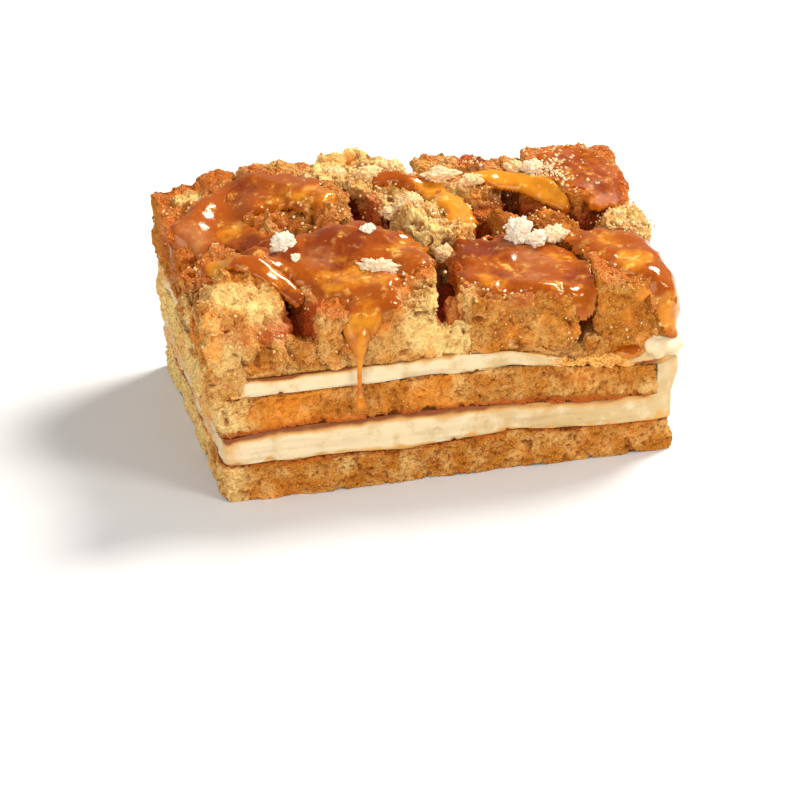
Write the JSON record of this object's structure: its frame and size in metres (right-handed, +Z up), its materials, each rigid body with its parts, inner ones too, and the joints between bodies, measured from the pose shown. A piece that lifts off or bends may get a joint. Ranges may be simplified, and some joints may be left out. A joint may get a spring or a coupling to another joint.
{
  "type": "layer cake slice",
  "caption": "Rectangular slice of layer cake: sponge and cream layers under torn sponge chunks glazed with caramel.",
  "frame": {"origin": "middle of the bounding box at the flat underside", "axes": "+X along the slice's length, to the right as seen from its front cut face; +Y from the front cut face to the back; +Z up"},
  "size_m": [0.1071, 0.072, 0.0505],
  "materials": {
    "sponge": "soft open crumb, matt",
    "cream": "smooth whipped cream, satin",
    "glazed_sponge": "open crumb with glossy caramel sauce"
  },
  "bodies": {
    "root": {"sponge_base": "sponge", "sponge_middle": "sponge", "cream_lower": "cream", "cream_upper": "cream", "chunk_front_left": "glazed_sponge", "chunk_front_mid": "glazed_sponge", "chunk_front_caramel": "glazed_sponge", "chunk_front_right": "glazed_sponge", "chunk_left_side": "glazed_sponge", "chunk_pale_column": "glazed_sponge", "chunk_mid_right": "glazed_sponge", "chunk_right_side": "glazed_sponge", "chunk_back_left": "glazed_sponge", "chunk_back_hill": "glazed_sponge", "chunk_back_mid": "glazed_sponge", "chunk_back_peak": "glazed_sponge", "chunk_back_right": "glazed_sponge"}
  },
  "joints": []
}
